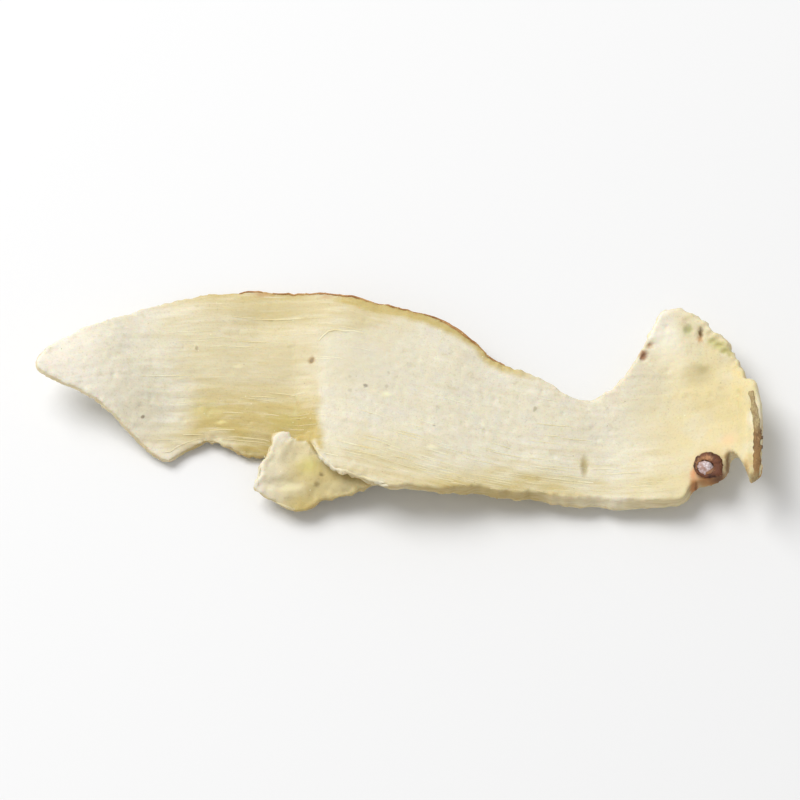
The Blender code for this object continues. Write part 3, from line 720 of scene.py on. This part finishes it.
def flesh_finish():
    """Dry, dull root flesh: white and chalky, amber beside the old joint, with pale fibres."""
    material, tree, shader = new_material("dried_flesh")
    place = in_millimetres(tree)
    grain = add_node(tree, "ShaderNodeUVMap", uv_map="grain").outputs[0]
    fibrous = attribute(tree, "fibrous")

    broad = patterned(tree, grain, (0.10, 0.45, 1.0), 4.0)
    patches = patterned(tree, grain, (0.35, 0.9, 1.0), 2.0)
    long_fibres = patterned(tree, grain, (0.20, 4.2, 1.0), 4.0, 0.6)
    short_fibres = patterned(tree, grain, (0.65, 9.0, 1.0), 3.0, 0.6)
    streaks = patterned(tree, grain, (0.28, 1.7, 1.0), 3.0, 0.5)
    clouds = patterned(tree, place, (1.5, 1.5, 1.5), 4.0, 0.6)
    mottle = patterned(tree, place, (0.55, 0.55, 0.55), 5.0)
    crumbs = patterned(tree, place, (5.5, 5.5, 5.5), 4.0, 0.7)

    drift = calculate(tree, "MULTIPLY", between(tree, broad, 0.40, 0.75, 0.0, 0.22), fibrous)
    amber = calculate(tree, "ADD", attribute(tree, "amber"), drift)
    colour = blended(tree, amber, linear(WHITE_FLESH), linear(AMBER_FLESH))
    warm = calculate(tree, "ADD", attribute(tree, "blush"), amber)
    cool = calculate(tree, "SUBTRACT", between(tree, mottle, 0.42, 0.66, 0.0, 0.55), warm)
    colour = blended(tree, cool, colour, linear(COOL_FLESH))
    uneven = between(tree, mottle, 0.30, 0.65, 0.30, 0.80)
    blush = calculate(tree, "MULTIPLY", attribute(tree, "blush"), uneven)
    colour = blended(tree, blush, colour, linear(BLUSH_FLESH))
    uneven = between(tree, mottle, 0.25, 0.6, 0.7, 1.0)
    chalk = calculate(tree, "MULTIPLY", attribute(tree, "chalky"), uneven)
    colour = blended(tree, chalk, colour, linear(CHALKY_FLESH))

    cloudy = calculate(tree, "SUBTRACT", between(tree, clouds, 0.50, 0.68, 0.0, 0.32), warm)
    colour = blended(tree, cloudy, colour, linear(PALE_FIBRE))
    cloudy = calculate(tree, "SUBTRACT", between(tree, clouds, 0.46, 0.30, 0.0, 0.36), warm)
    colour = blended(tree, cloudy, colour, linear(COOL_FLESH), "MULTIPLY")
    streaked = calculate(tree, "MULTIPLY", between(tree, streaks, 0.50, 0.70, 0.0, 0.24), fibrous)
    colour = blended(tree, streaked, colour, linear(PALE_FIBRE))
    streaked = calculate(tree, "MULTIPLY", between(tree, streaks, 0.50, 0.32, 0.0, 0.26), fibrous)
    colour = blended(tree, streaked, colour, linear(BLUSH_FLESH), "MULTIPLY")

    shown = calculate(tree, "MULTIPLY", fibrous, between(tree, patches, 0.38, 0.62))
    pale = calculate(tree, "MULTIPLY", between(tree, long_fibres, 0.57, 0.72), shown)
    colour = blended(tree, calculate(tree, "MULTIPLY", pale, 0.46), colour, linear(PALE_FIBRE))
    pale = calculate(tree, "MULTIPLY", between(tree, short_fibres, 0.60, 0.76), shown)
    colour = blended(tree, calculate(tree, "MULTIPLY", pale, 0.34), colour, linear(PALE_FIBRE))
    shade = calculate(tree, "MULTIPLY", between(tree, short_fibres, 0.46, 0.26, 0.0, 0.18), fibrous)
    colour = blended(tree, shade, colour, linear(AMBER_FLESH), "MULTIPLY")
    shade = between(tree, crumbs, 0.50, 0.28, 0.0, 0.20)
    colour = blended(tree, shade, colour, linear(DARK_PORE), "MULTIPLY")
    colour, _ = speckled(tree, place, 1.9, 0.16, 0.70, colour, PALE_SPECK, 0.55)
    colour, pore = speckled(tree, place, 1.3, 0.10, 0.62, colour, DARK_PORE, 0.60)

    uneven = between(tree, crumbs, 0.25, 0.6, 0.6, 1.0)
    side = calculate(tree, "MULTIPLY", attribute(tree, "side"), uneven)
    strata = patterned(tree, place, (0.45, 0.45, 5.5), 4.0, 0.6)
    layered = between(tree, strata, 0.62, 0.36, 0.0, 0.45)
    tanned = calculate(tree, "ADD", attribute(tree, "amber"), layered)
    bare = blended(tree, tanned, linear(PALE_SIDE), linear(BARE_SIDE))
    colour = blended(tree, side, colour, bare)
    colour = marked(tree, place, colour)
    uneven = between(tree, crumbs, 0.3, 0.5, 0.55, 1.0)
    skin = calculate(tree, "MULTIPLY", attribute(tree, "skin"), uneven)
    colour = blended(tree, skin, colour, linear(SKIN_LINE))

    height = calculate(tree, "MULTIPLY", calculate(tree, "MULTIPLY", long_fibres, 0.5), fibrous)
    height = calculate(tree, "ADD", height, calculate(tree, "MULTIPLY", short_fibres, 0.25))
    height = calculate(tree, "ADD", height, calculate(tree, "MULTIPLY", crumbs, 0.3))
    height = calculate(tree, "SUBTRACT", height, calculate(tree, "MULTIPLY", pore, 0.4))

    coat(tree, shader, colour, height, strength=0.45, distance=0.10 * MM)
    tree.links.new(between(tree, long_fibres, 0.3, 0.7, 0.72, 0.56), shader.inputs["Roughness"])
    shader.inputs["Specular IOR Level"].default_value = 0.35
    shader.inputs["Subsurface Weight"].default_value = 0.35
    shader.inputs["Subsurface Radius"].default_value = (1.0, 0.62, 0.30)
    shader.inputs["Subsurface Scale"].default_value = 0.7 * MM
    return material


flesh.data.materials.clear()
flesh.data.materials.append(flesh_finish())
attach(flesh, "root")
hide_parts("root_slice")

# The grain fibres. Where the knife ran along the root it laid open threads of its
# fibre, which dried paler and harder than the flesh and stand a hair proud of it.
FIBRE_COUNT = 120
FIBRE_RADIUS = 0.064 * MM
FIBRE_THICKNESSES = (0.5, 1.35)
FIBRE_SINK = 0.68
FIBRE_CLEARANCE = 3.4 * MM
LEAST_LEVEL = 0.55
PALE_THREAD = (246, 242, 214)
DEEP_THREAD = (229, 214, 163)

# Along and across the grain, in millimetres: a fibre's step and length, and where one may
# start, and the height from which it is laid down on the flesh
FIBRE_STEP = 0.45
FIBRE_LENGTHS = (0.9, 4.6)
FIBRE_STARTS = (-31.0, 29.0)
FIBRE_LINES = (-8.2, 8.2)
LAYING_HEIGHT = 50.0
DOWN = Vector((0.0, 0.0, -1.0))

# Where fibres lie: pixel of the photograph, half width and height in pixels, how thickly
FIBRE_PLACES = {
    "low_on_the_left": ((100, 426), (44, 17), 0.28),
    "along_the_bite": ((80, 438), (40, 6), 0.8),
    "high_on_the_left": ((95, 392), (70, 30), 0.12),
    "over_the_lip": ((172, 447), (36, 19), 0.8),
    "near_edge": ((245, 462), (90, 11), 0.85),
    "white_half": ((215, 425), (70, 34), 0.09),
}

# The raised arc that shows where two years' growth met, as pixels of the photograph
JOINT_ARC = (
    (138.5, 386), (140.5, 383.5), (143.5, 381), (147, 380.2), (152, 381), (157, 380.8), (162, 382),
)
JOINT_THICKNESS = 1.8


def thread_share(px, py):
    """How thickly the fibres lie at a pixel, 0 to 1."""
    share = 0.0
    for (x, y), (wide, high), much in FIBRE_PLACES.values():
        share = max(share, much * ease(1.6 - 1.2 * math.hypot((px - x) / wide, (py - y) / high)))
    return share


def grain_place(u, v):
    """The place of the slice that lies so far along and across the grain."""
    far, near = station(FAR_GRAIN, u), station(NEAR_GRAIN, u)
    across = (far + near + v / GRAIN_WIDTH * (far - near)) / 2.0
    return Vector((u, across, LAYING_HEIGHT)) * MM


def thread_curve(name, radius):
    """An empty curve object for round threads."""
    curve = bpy.data.curves.new(name, "CURVE")
    curve.dimensions = "3D"
    curve.bevel_depth = radius
    curve.bevel_resolution = 1
    curve.use_fill_caps = True
    return new_piece(name, data=curve)


def add_thread(piece, points, radii):
    """One thread through its points, with its thickness at each."""
    spline = piece.data.splines.new("POLY")
    spline.points.add(len(points) - 1)
    for made, point, radius in zip(spline.points, points, radii):
        made.co = (*point, 1.0)
        made.radius = radius


def tapered(count, thick):
    """The thickness of a thread at each of its points, thin at both ends."""
    shares = [math.sin(math.pi * (i + 0.5) / count) ** 0.6 for i in range(count)]
    return [thick * (0.30 + 0.70 * share) for share in shares]


fibres = thread_curve("grain_fibres", FIBRE_RADIUS)
luck = random.Random(29)
laid = 0
while laid < FIBRE_COUNT:
    start, length = luck.uniform(*FIBRE_STARTS), luck.uniform(*FIBRE_LENGTHS)
    v, thick = luck.uniform(*FIBRE_LINES), luck.uniform(*FIBRE_THICKNESSES)
    keep, phase = luck.random(), luck.uniform(0.0, 50.0)
    points = []
    for i in range(int(length / FIBRE_STEP) + 2):
        u = start + i * FIBRE_STEP
        sway = 0.16 * noise.noise(Vector((u / 3.0, phase, 5.0)))
        point, normal, _, _ = face_of_flesh.ray_cast(grain_place(u, v + sway), DOWN)
        if point is None or normal.z < LEAST_LEVEL:
            break
        pixel = pixel_of(point)
        if inside(*pixel, TONGUE) or thread_share(*pixel) < keep:
            break
        if (point - scar_place).length < FIBRE_CLEARANCE:
            break
        points.append(point + normal * FIBRE_RADIUS * thick * (1.0 - 2.0 * FIBRE_SINK))
    if len(points) > 2:
        add_thread(fibres, points, tapered(len(points), thick))
        laid += 1
arc = []
for pixel in JOINT_ARC:
    point, normal = seen_on(face_of_flesh, *pixel)
    arc.append(point - normal * FIBRE_RADIUS * 0.4)
add_thread(fibres, arc, tapered(len(arc), JOINT_THICKNESS))
fibres = settled(fibres)


def steep(threads):
    """Give the threads the amber of the flesh that they lie on."""
    steeped = threads.data.attributes.new("amber", "FLOAT", "POINT")
    for vert, amber in zip(threads.data.vertices, steeped.data):
        pixel = pixel_of(vert.co)
        found = tongue_amber(*pixel) if inside(*pixel, TONGUE) else amber_at(*pixel, 0.0)
        amber.value = min(max(found, 0.0), 1.0)


steep(fibres)


def fibre_finish(name, pale, deep):
    """A dry plant fibre: pale, a little glossy, unevenly stained along its length."""
    material, tree, shader = new_material(name)
    place = in_millimetres(tree)
    stains = patterned(tree, place, (0.5, 0.8, 0.8), 4.0)
    grit = patterned(tree, place, (9.0, 14.0, 14.0), 3.0, 0.7)
    stained = between(tree, stains, 0.35, 0.65, 0.0, 0.6)
    deepness = calculate(tree, "ADD", stained, attribute(tree, "amber"))
    colour = blended(tree, deepness, linear(pale), linear(deep))
    gritty = between(tree, grit, 0.5, 0.25, 0.0, 0.3)
    colour = blended(tree, gritty, colour, linear(DARK_PORE), "MULTIPLY")
    coat(tree, shader, colour, grit, strength=0.4, distance=0.03 * MM)
    shader.inputs["Roughness"].default_value = 0.55
    return material


fibres.data.materials.append(fibre_finish("pale_fibre", PALE_THREAD, DEEP_THREAD))
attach(fibres, "root")

# The torn edges. Where flesh was torn and not cut, its fibres came loose and dried along
# the break as a pale ragged roll: on the lip, the tongue's own end and the bite.
STRAND_RADIUS = 0.11 * MM
PALE_STRAND = (246, 240, 218)
DEEP_STRAND = (230, 216, 170)

# In pixels: a strand's step, how far over the tear it lies, and the gap between two of its
# points at which it is broken, because one of them has fallen past the flesh
STRAND_STEP = 1.2
STRAND_RAISE = 0.8
STRAND_GAP = 4.8

# Pixels along each tear, how many strands lie there, how far they stray to its sides in
# pixels, how thick they are, the least height of the flesh that carries them
TEARS = {
    "lip": (LIP[:9], 14, 0.9, 1.1, 3.4 * MM),
    "tongue_end": (((105.8, 467), (106, 459), (107.6, 452), (112.3, 448)), 6, 0.7, 1.0, 0.5 * MM),
    "tongue_foot": (((107, 469), (116, 474), (126, 477.5)), 4, 0.7, 0.8, 0.5 * MM),
    "bite": (((52, 446.5), (58, 446.5), (66, 442.5), (75, 440), (84, 442.5)), 6, 0.7, 0.6, 0.0),
}


def along(line, share):
    """The pixel at a share of the way along a line of pixels."""
    lengths = [math.dist(a, b) for a, b in zip(line, line[1:])]
    left = share * sum(lengths)
    for (x0, y0), (x1, y1), length in zip(line, line[1:], lengths):
        if left <= length:
            return x0 + (x1 - x0) * left / length, y0 + (y1 - y0) * left / length
        left -= length
    return line[-1]


strands = thread_curve("torn_edges", STRAND_RADIUS)
luck = random.Random(5)
for line, count, stray, bulk, lowest in TEARS.values():
    length = sum(math.dist(a, b) for a, b in zip(line, line[1:]))
    for _ in range(count):
        start, end = sorted((luck.random(), luck.random()))
        aside, thick = luck.uniform(-stray, stray), bulk * luck.uniform(0.6, 1.3)
        phase, steps = luck.uniform(0.0, 50.0), max(int((end - start) * length / STRAND_STEP), 3)
        points, radii = [], tapered(steps + 1, thick)
        for i in range(steps + 1):
            px, py = along(line, start + (end - start) * i / steps)
            sway = aside + 0.7 * noise.noise(Vector((px / 1.6, py / 1.6, phase)))
            radii[i] *= 1.0 + 0.7 * noise.noise(Vector((px / 1.1, py / 1.1, phase + 9.0)))
            point, normal = seen_on(face_of_flesh, px, py - STRAND_RAISE + sway)
            points.append(point - normal * 0.25 * STRAND_RADIUS * radii[i])
        whole = all((b - a).length < STRAND_GAP * PIXEL for a, b in zip(points, points[1:]))
        if whole and min(point.z for point in points) > lowest:
            add_thread(strands, points, radii)
strands = settled(strands)
steep(strands)
strands.data.materials.append(fibre_finish("torn_fibre", PALE_STRAND, DEEP_STRAND))
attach(strands, "root")

# The bark on the rim. A strip of the root's thin papery brown skin is left where the
# knife ran out through it, on the head's right rim and here and there on the far edge.
BARK_THICK = 0.10 * MM
BARK_STRETCH = 0.42 * MM
BARK_ROWS = 6

# In pixels of the photograph: the line that the head's strip follows, its grid's step, and
# half its width at its top, its middle and its foot
BARK_LINE = (
    (370.0, 412), (371.0, 418), (372.5, 426), (373.4, 434), (373.4, 441), (372.4, 448),
    (371.8, 455), (370.9, 463),
)
BARK_STEP = 0.8
BARK_WIDTHS = (1.1, 2.0, 1.5)

# Shares of the strip's length: where its lower half starts, and where it is worn pale at
# each end, from where that starts to where it is whole
BARK_MIDDLE = 0.55
WORN_TOP = (0.50, 0.34)
WORN_FOOT = (0.86, 0.94)

# Threads of skin on the far rim, in millimetres: where along the slice they lie, how far
# apart their points are, how long they are and how high over the rim
FAR_RIM_REACH = (-14.5, 10.5)
FAR_RIM_STEP = 0.35
RIM_THREAD_COUNT = 17
RIM_THREAD_LENGTHS = (0.8, 3.6)
RIM_THREAD_HEIGHTS = (0.15, 0.95)
RIM_THREAD_RADIUS = 0.075 * MM

# The tones of both, as sRGB: the skin's dark, its brown, its flaked tan and its worn pale
BARK_TONES = ((104, 76, 44), (152, 116, 70), (184, 156, 112), (188, 170, 124))
THREAD_TONES = ((164, 112, 62), (198, 152, 96), (220, 190, 134))


def smooth_along(line, share):
    """The pixel at a share of the way along a line, with its corners rounded."""
    window = (-0.08, -0.03, 0.03, 0.08)
    spots = [along(line, min(max(share + shift, 0.0), 1.0)) for shift in window]
    return sum(x for x, _ in spots) / len(spots), sum(y for _, y in spots) / len(spots)


bm = bmesh.new()
worn = bm.verts.layers.float.new("worn")
bark_length = sum(math.dist(a, b) for a, b in zip(BARK_LINE, BARK_LINE[1:]))
bmesh.ops.create_grid(bm, x_segments=int(bark_length / BARK_STEP), y_segments=BARK_ROWS, size=0.5)
top, middle, foot = BARK_WIDTHS
for vert in bm.verts:
    share, across = vert.co.x + 0.5, vert.co.y * 2.0
    px, py = smooth_along(BARK_LINE, share)
    ahead, behind = smooth_along(BARK_LINE, share + 0.02), smooth_along(BARK_LINE, share - 0.02)
    way = Vector((ahead[0] - behind[0], ahead[1] - behind[1])).normalized()
    wide = top + (middle - top) * ease(share * 2.2 - 0.2)
    if share > BARK_MIDDLE:
        wide = middle + (foot - middle) * ease(share * 2.0 - 1.0)
    wide *= 1.0 + 0.6 * noise.noise(Vector((share * 11.0, across, 0.0)))
    wide *= 1.0 + 0.3 * noise.noise(Vector((share * 26.0, across, 5.0)))
    px, py = px - way.y * across * wide, py + way.x * across * wide
    point, normal = seen_on(face_of_flesh, px, py)
    flake = 0.05 * (1.0 + noise.noise(Vector((px / 2.0, py / 2.0, 3.0))))
    vert.co = point + normal * (flake + 0.10 * abs(across) ** 3 * flake) * MM
    vert[worn] = fade(share, *WORN_TOP) + fade(share, *WORN_FOOT)
over_the_rim = [
    face for face in bm.faces if max(edge.calc_length() for edge in face.edges) > BARK_STRETCH
]
bmesh.ops.delete(bm, geom=over_the_rim, context="FACES")
bmesh.ops.recalc_face_normals(bm, faces=bm.faces)
bark = new_piece("rim_bark", bm)
wall = bark.modifiers.new("paper_thickness", "SOLIDIFY")
wall.thickness = BARK_THICK
wall.offset = 0.0
bark = settled(bark)

far_rim = {}
for vert in flesh.data.vertices:
    x = round(vert.co.x / MM / FAR_RIM_STEP)
    if vert.co.y > far_rim.get(x, (-1.0, None))[0]:
        far_rim[x] = (vert.co.y, vert.co.copy())
rim_threads = thread_curve("rim_skin_threads", RIM_THREAD_RADIUS)
luck = random.Random(17)
for _ in range(RIM_THREAD_COUNT):
    length = luck.uniform(*RIM_THREAD_LENGTHS)
    start = luck.uniform(FAR_RIM_REACH[0], FAR_RIM_REACH[1] - length)
    thick, phase = luck.uniform(0.5, 1.5), luck.uniform(0.0, 40.0)
    above = luck.uniform(*RIM_THREAD_HEIGHTS) * MM
    points = []
    for i in range(int(length / FAR_RIM_STEP) + 3):
        _, edge = far_rim[round(start / FAR_RIM_STEP) + i]
        sway = 0.25 * MM * noise.noise(Vector((i * 0.3, phase, 8.0)))
        aim = edge + Vector((0.0, 0.3 * MM - above * 0.3, above + sway))
        point, normal, _, _ = face_of_flesh.find_nearest(aim)
        points.append(point + normal * 0.3 * RIM_THREAD_RADIUS)
    add_thread(rim_threads, points, tapered(len(points), thick))
rim_threads = settled(rim_threads)


def skin_finish(name, dark, brown, tan, worn=None):
    """Dry papery root skin: brown, fibrous along its length, flaked to tan on its high parts."""
    material, tree, shader = new_material(name)
    place = in_millimetres(tree)
    stains = patterned(tree, place, (0.7, 0.45, 0.7), 5.0, 0.6)
    flakes = patterned(tree, place, (4.0, 2.2, 4.0), 4.0, 0.65)
    grit = patterned(tree, place, (11.0, 11.0, 11.0), 3.0, 0.7)
    colour = blended(tree, between(tree, stains, 0.36, 0.60), linear(dark), linear(brown))
    colour = blended(tree, between(tree, flakes, 0.54, 0.68, 0.0, 0.8), colour, linear(tan))
    if worn:
        uneven = between(tree, flakes, 0.40, 0.60, 0.35, 1.0)
        bare = calculate(tree, "MULTIPLY", attribute(tree, "worn"), uneven)
        colour = blended(tree, bare, colour, linear(worn))
    gritty = between(tree, grit, 0.5, 0.3, 0.0, 0.5)
    colour = blended(tree, gritty, colour, linear(dark), "MULTIPLY")
    height = calculate(tree, "MULTIPLY", flakes, 0.6)
    height = calculate(tree, "ADD", height, calculate(tree, "MULTIPLY", grit, 0.4))
    coat(tree, shader, colour, height, strength=0.8, distance=0.08 * MM)
    tree.links.new(between(tree, flakes, 0.3, 0.7, 0.55, 0.85), shader.inputs["Roughness"])
    shader.inputs["Specular IOR Level"].default_value = 0.4
    return material


bark.data.materials.append(skin_finish("papery_skin", *BARK_TONES))
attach(bark, "root")
rim_threads.data.materials.append(skin_finish("skin_thread", *THREAD_TONES))
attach(rim_threads, "root")

# The rootlet's scar. A side root grew out of the head here and was rubbed off, which left
# a dark ragged ring of its skin standing round a small pale plug of pith.
RING_PIXEL = (346.9, 453.7)
RING_OUTSIDE = 1.30 * MM
RING_HOLE = 0.68 * MM
HOLE_SHIFT = 0.36 * MM
RING_HIGH = 0.20 * MM
HEAVY_SIDE = math.radians(44.0)

# The ragged point that stands out of the ring, and the side where its inside is worn pale
POINTED_SIDE = math.radians(-44.0)
POINT_WIDTH = math.radians(15.0)
POINT_LENGTH = 0.40 * MM
WORN_SIDE = math.radians(125.0)

# How many sides its round has, how many steps its turn, and its tones as sRGB: the skin's
# dark, its brown, its flaked tan and its worn pale
RING_SIDES = 10
RING_STEPS = 56
RING_TONES = ((56, 29, 18), (110, 64, 40), (160, 118, 84), (208, 154, 110))

ring_middle, _ = seen_on(face_of_flesh, *RING_PIXEL)


def ground(x, y):
    """The height of the flesh straight under a place."""
    point, _, _, _ = face_of_flesh.ray_cast(Vector((x, y, LAYING_HEIGHT * MM)), DOWN)
    return ring_middle.z if point is None else point.z


bm = bmesh.new()
worn = bm.verts.layers.float.new("worn")
profile = bmesh.ops.create_circle(bm, segments=RING_SIDES, radius=0.5)["verts"]
for vert in profile:
    vert.co = Vector((vert.co.x + 2.0, 0.0, vert.co.y))
loop = list({edge for vert in profile for edge in vert.link_edges})
bmesh.ops.spin(
    bm, geom=profile + loop, axis=(0.0, 0.0, 1.0), cent=(0.0, 0.0, 0.0), angle=math.tau,
    steps=RING_STEPS, use_merge=True,
)
bmesh.ops.remove_doubles(bm, verts=bm.verts, dist=1e-5)
bmesh.ops.recalc_face_normals(bm, faces=bm.faces)
for vert in bm.verts:
    turn = math.atan2(vert.co.y, vert.co.x)
    across, rise = 2.0 * (math.hypot(vert.co.x, vert.co.y) - 2.0), 2.0 * vert.co.z
    around = Vector((math.cos(turn), math.sin(turn), 0.0))
    point = math.exp(-(((turn - POINTED_SIDE) / POINT_WIDTH) ** 2))
    outside = RING_OUTSIDE * (1.0 + 0.08 * noise.noise(around * 4.1)) + POINT_LENGTH * point
    hole = RING_HOLE - HOLE_SHIFT * math.cos(turn - HEAVY_SIDE)
    hole += 0.10 * MM * noise.noise(around * 5.0)
    out = (outside + hole) / 2.0 + across * (outside - hole) / 2.0
    out += 0.10 * MM * noise.noise(around * 9.0 + Vector((across, rise, 0.0)))
    heavy = 1.0 + 0.40 * math.cos(turn - HEAVY_SIDE) + 0.45 * noise.noise(around * 6.0)
    spots = [ring_middle + around * outside * share for share in (0.6, 0.75, 0.9)]
    foot = max(ground(spot.x, spot.y) for spot in spots)
    vert[worn] = ease(0.4 - across) * ease(math.cos(turn - WORN_SIDE) * 1.5)
    spot = ring_middle + around * out
    vert.co = Vector((spot.x, spot.y, foot + rise * RING_HIGH * heavy + 0.05 * MM))
ring = new_piece("rootlet_scar_ring", bm)
ring.data.materials.append(skin_finish("scar_skin", *RING_TONES))
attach(ring, "root")

# The scar's pith. The soft core of the rootlet dried to a pale spongy plug, low in the
# ring's hole and to the side where the ring is thin.
PITH_PIXEL = (344.9, 455.0)
PITH_RADIUS = 0.76 * MM
PITH_FLATNESS = 0.42
PITH_RISE = Vector((0.0, 0.0, 0.06)) * MM
DUSKY_PITH = (186, 154, 146)
PALE_PITH = (228, 216, 218)
PITH_WALL = (150, 106, 84)

pith_middle = seen_on(face_of_flesh, *PITH_PIXEL)[0] + PITH_RISE
bm = bmesh.new()
bmesh.ops.create_uvsphere(bm, u_segments=32, v_segments=16, radius=PITH_RADIUS)
for vert in bm.verts:
    lump = 1.0 + 0.16 * noise.noise(vert.co / (0.35 * MM))
    lump += 0.08 * noise.noise(vert.co / (0.14 * MM))
    place = Vector((vert.co.x * lump, vert.co.y * lump, vert.co.z * PITH_FLATNESS * lump))
    vert.co = place + pith_middle
pith = new_piece("scar_pith", bm)


def pith_finish():
    """Spongy dried pith: a dusky pink-grey with pale clouds, darker along its raised cell walls."""
    material, tree, shader = new_material("dried_pith")
    place = in_millimetres(tree)
    cells = add_node(tree, "ShaderNodeTexVoronoi", {"Vector": place, "Scale": 5.0})
    cells = cells.outputs["Distance"]
    clouds = between(tree, patterned(tree, place, (1.6, 1.6, 1.6), 4.0), 0.35, 0.62)
    colour = blended(tree, clouds, linear(DUSKY_PITH), linear(PALE_PITH))
    walls = between(tree, cells, 0.35, 0.65, 0.0, 0.4)
    colour = blended(tree, walls, colour, linear(PITH_WALL))
    coat(tree, shader, colour, cells, strength=0.7, distance=0.06 * MM)
    shader.inputs["Roughness"].default_value = 0.8
    return material


pith.data.materials.append(pith_finish())
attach(pith, "root")

# The floor: a plain pale table top.
FLOOR_SIZE = 3.0
FLOOR_COLOUR = (0.86, 0.86, 0.86, 1.0)
bm = bmesh.new()
bmesh.ops.create_grid(bm, x_segments=1, y_segments=1, size=FLOOR_SIZE / 2)
floor = new_piece("floor", bm)
paint, _, shader = new_material("pale_table")
shader.inputs["Base Color"].default_value = FLOOR_COLOUR
shader.inputs["Roughness"].default_value = 0.7
floor.data.materials.append(paint)

# The light: a broad soft box from behind the upper left, and an even white room.
KEY_PLACE = Vector((-0.30, 0.22, 0.55))
KEY_SIZE = 0.40
KEY_WATTS = 3.5
ROOM_STRENGTH = 0.50


def aimed(piece, place, target):
    """The piece at its place, looking at the target."""
    piece.location = place
    piece.rotation_mode = "QUATERNION"
    piece.rotation_quaternion = (target - place).to_track_quat("-Z", "Y")


key = new_piece("key_light", data=bpy.data.lights.new("key_light", "AREA"))
key.data.size = KEY_SIZE
key.data.energy = KEY_WATTS
aimed(key, KEY_PLACE, Vector((0.0, 0.0, 0.0)))
room = bpy.data.worlds.new("white_room")
room.use_nodes = True
room.node_tree.nodes["Background"].inputs["Color"].default_value = (1.0, 1.0, 1.0, 1.0)
room.node_tree.nodes["Background"].inputs["Strength"].default_value = ROOM_STRENGTH
bpy.context.scene.world = room
bpy.context.scene.view_settings.view_transform = "Standard"

# The camera: a long lens that looks down on the slice as the photograph does.
LENS = 400.0
SENSOR = 36.0
VIEW_WIDTH = 71.0 * MM
VIEW_MIDDLE = Vector((0.0, -0.3, 2.2)) * MM
distance = VIEW_WIDTH * LENS / SENSOR
camera = new_piece("camera", data=bpy.data.cameras.new("camera"))
camera.data.lens = LENS
camera.data.sensor_width = SENSOR
camera.data.clip_start = 0.01
aimed(camera, VIEW_MIDDLE - SIGHT * distance, VIEW_MIDDLE)
bpy.context.scene.camera = camera
